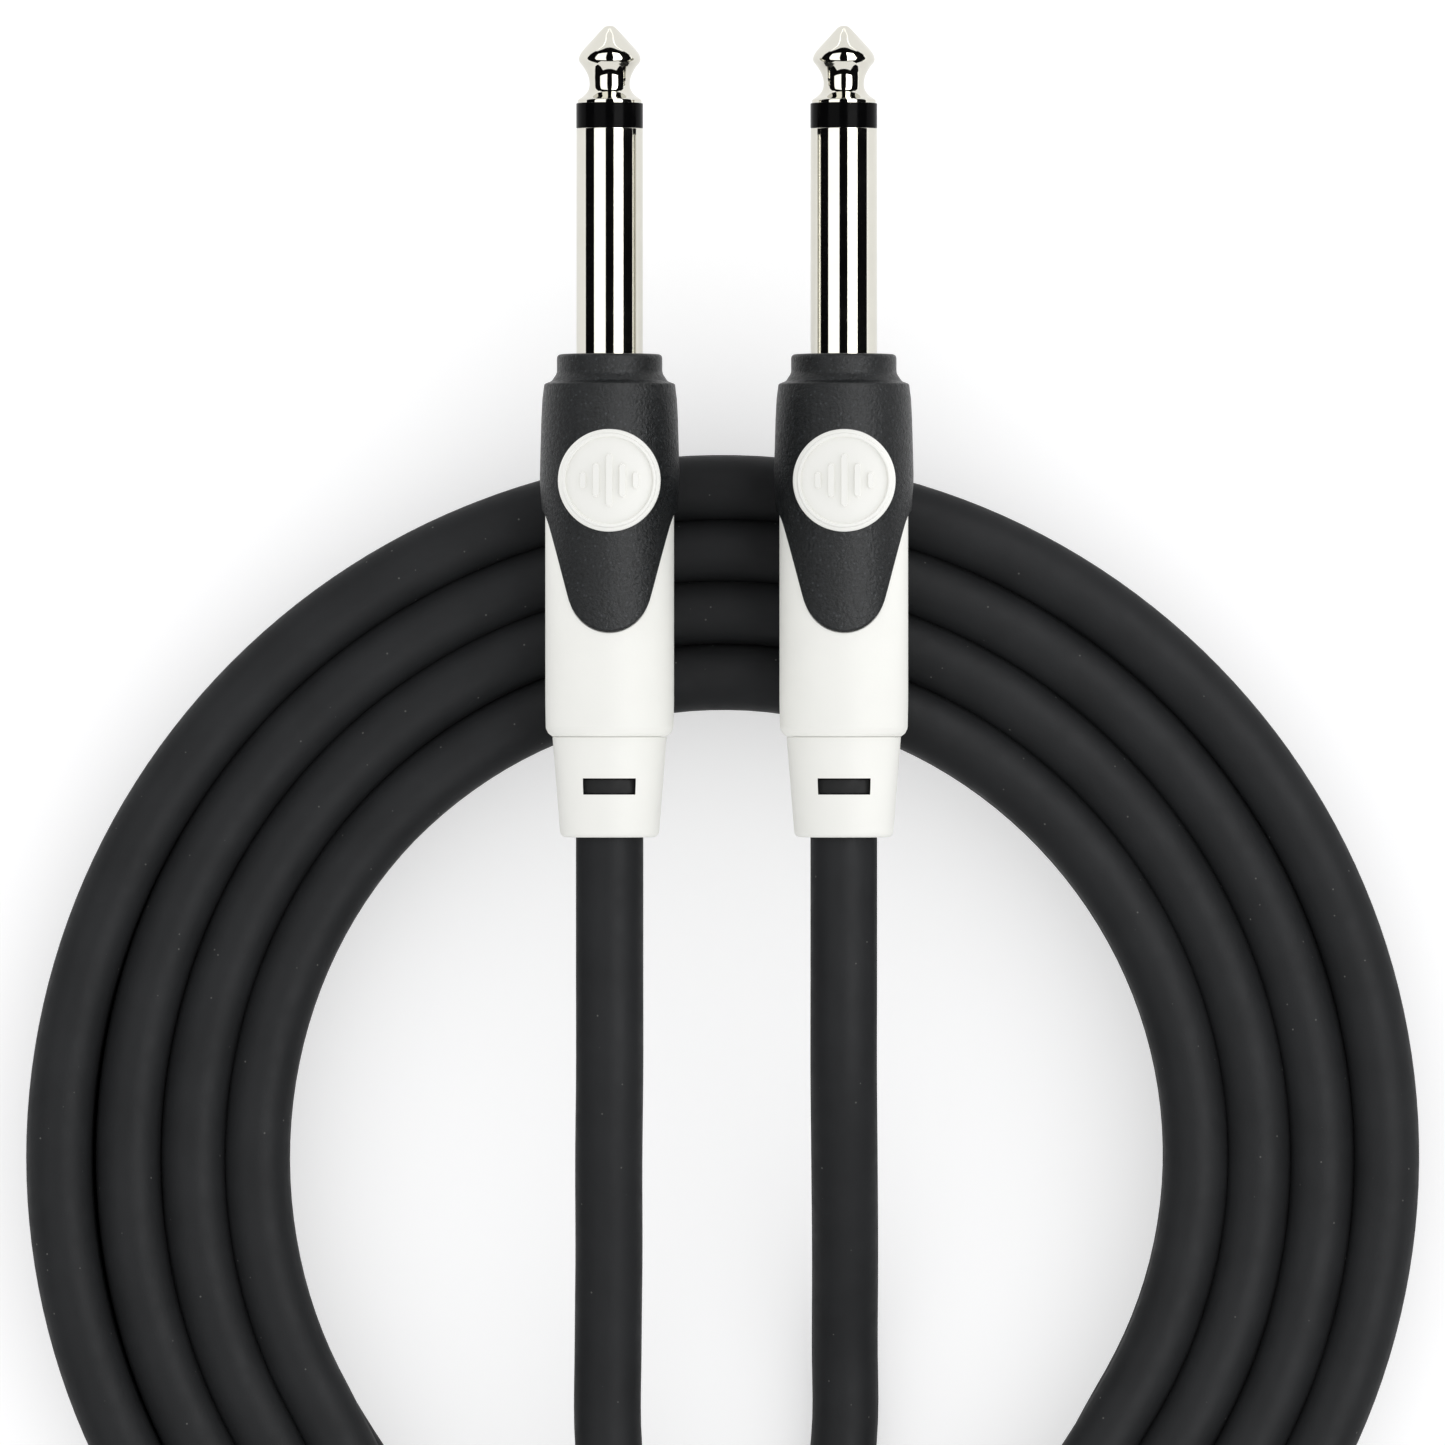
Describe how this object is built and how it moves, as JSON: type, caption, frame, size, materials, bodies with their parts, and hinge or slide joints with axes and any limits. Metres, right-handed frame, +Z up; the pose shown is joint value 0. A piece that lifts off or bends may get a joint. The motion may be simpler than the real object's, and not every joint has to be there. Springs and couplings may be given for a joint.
{
  "type": "instrument cable",
  "caption": "Coiled instrument cable with a straight quarter-inch mono plug on each end, white housings with black front caps, and a strap round the coil.",
  "frame": {"origin": "on the surface that the cable lies on, under the middle of the box round the two plugs and the tie", "axes": "+Y along the plugs towards their tips, +X from the left plug to the right plug, +Z up out of the coil"},
  "size_m": [0.1329, 0.1878, 0.0267],
  "materials": {
    "cable_jacket": "matte flexible PVC",
    "strap": "woven hook-and-loop",
    "nickel_plate": "polished nickel plate",
    "black_insulator": "glossy",
    "natural_plastic": "natural, unpigmented",
    "tinned_steel": "tinned sheet",
    "copper": "bare stranded copper",
    "soft_black": "fine-grained soft touch",
    "soft_black_bush": "matte",
    "white_plastic": "satin moulded"
  },
  "bodies": {
    "cable": {"coil": "cable_jacket", "lead_left": "cable_jacket", "lead_right": "cable_jacket", "tie": "strap", "left_tip": "nickel_plate", "left_tip_insulator": "black_insulator", "left_sleeve": "nickel_plate", "left_inner_insulator": "natural_plastic", "left_rear_insulator": "black_insulator", "left_tip_lug": "tinned_steel", "left_ground_clamp": "tinned_steel", "left_centre_conductor": "copper", "left_core_insulation": "natural_plastic", "left_shield_pigtail": "copper", "left_jacket_end": "cable_jacket", "left_cap": "soft_black", "left_body_shell": "white_plastic", "left_badge": "white_plastic", "right_tip": "nickel_plate", "right_tip_insulator": "black_insulator", "right_sleeve": "nickel_plate", "right_inner_insulator": "natural_plastic", "right_rear_insulator": "black_insulator", "right_tip_lug": "tinned_steel", "right_ground_clamp": "tinned_steel", "right_centre_conductor": "copper", "right_core_insulation": "natural_plastic", "right_shield_pigtail": "copper", "right_jacket_end": "cable_jacket", "right_cap": "soft_black", "right_body_shell": "white_plastic", "right_badge": "white_plastic"},
    "left_tail": {"left_collar": "white_plastic", "left_grommet": "soft_black_bush"},
    "right_tail": {"right_collar": "white_plastic", "right_grommet": "soft_black_bush"}
  },
  "joints": [
    {"name": "left_collar_slide", "type": "slide", "parent": "cable", "child": "left_tail", "axis": [0, -1, 0], "range_m": [0, 0.012]},
    {"name": "right_collar_slide", "type": "slide", "parent": "cable", "child": "right_tail", "axis": [0, -1, 0], "range_m": [0, 0.012]}
  ]
}
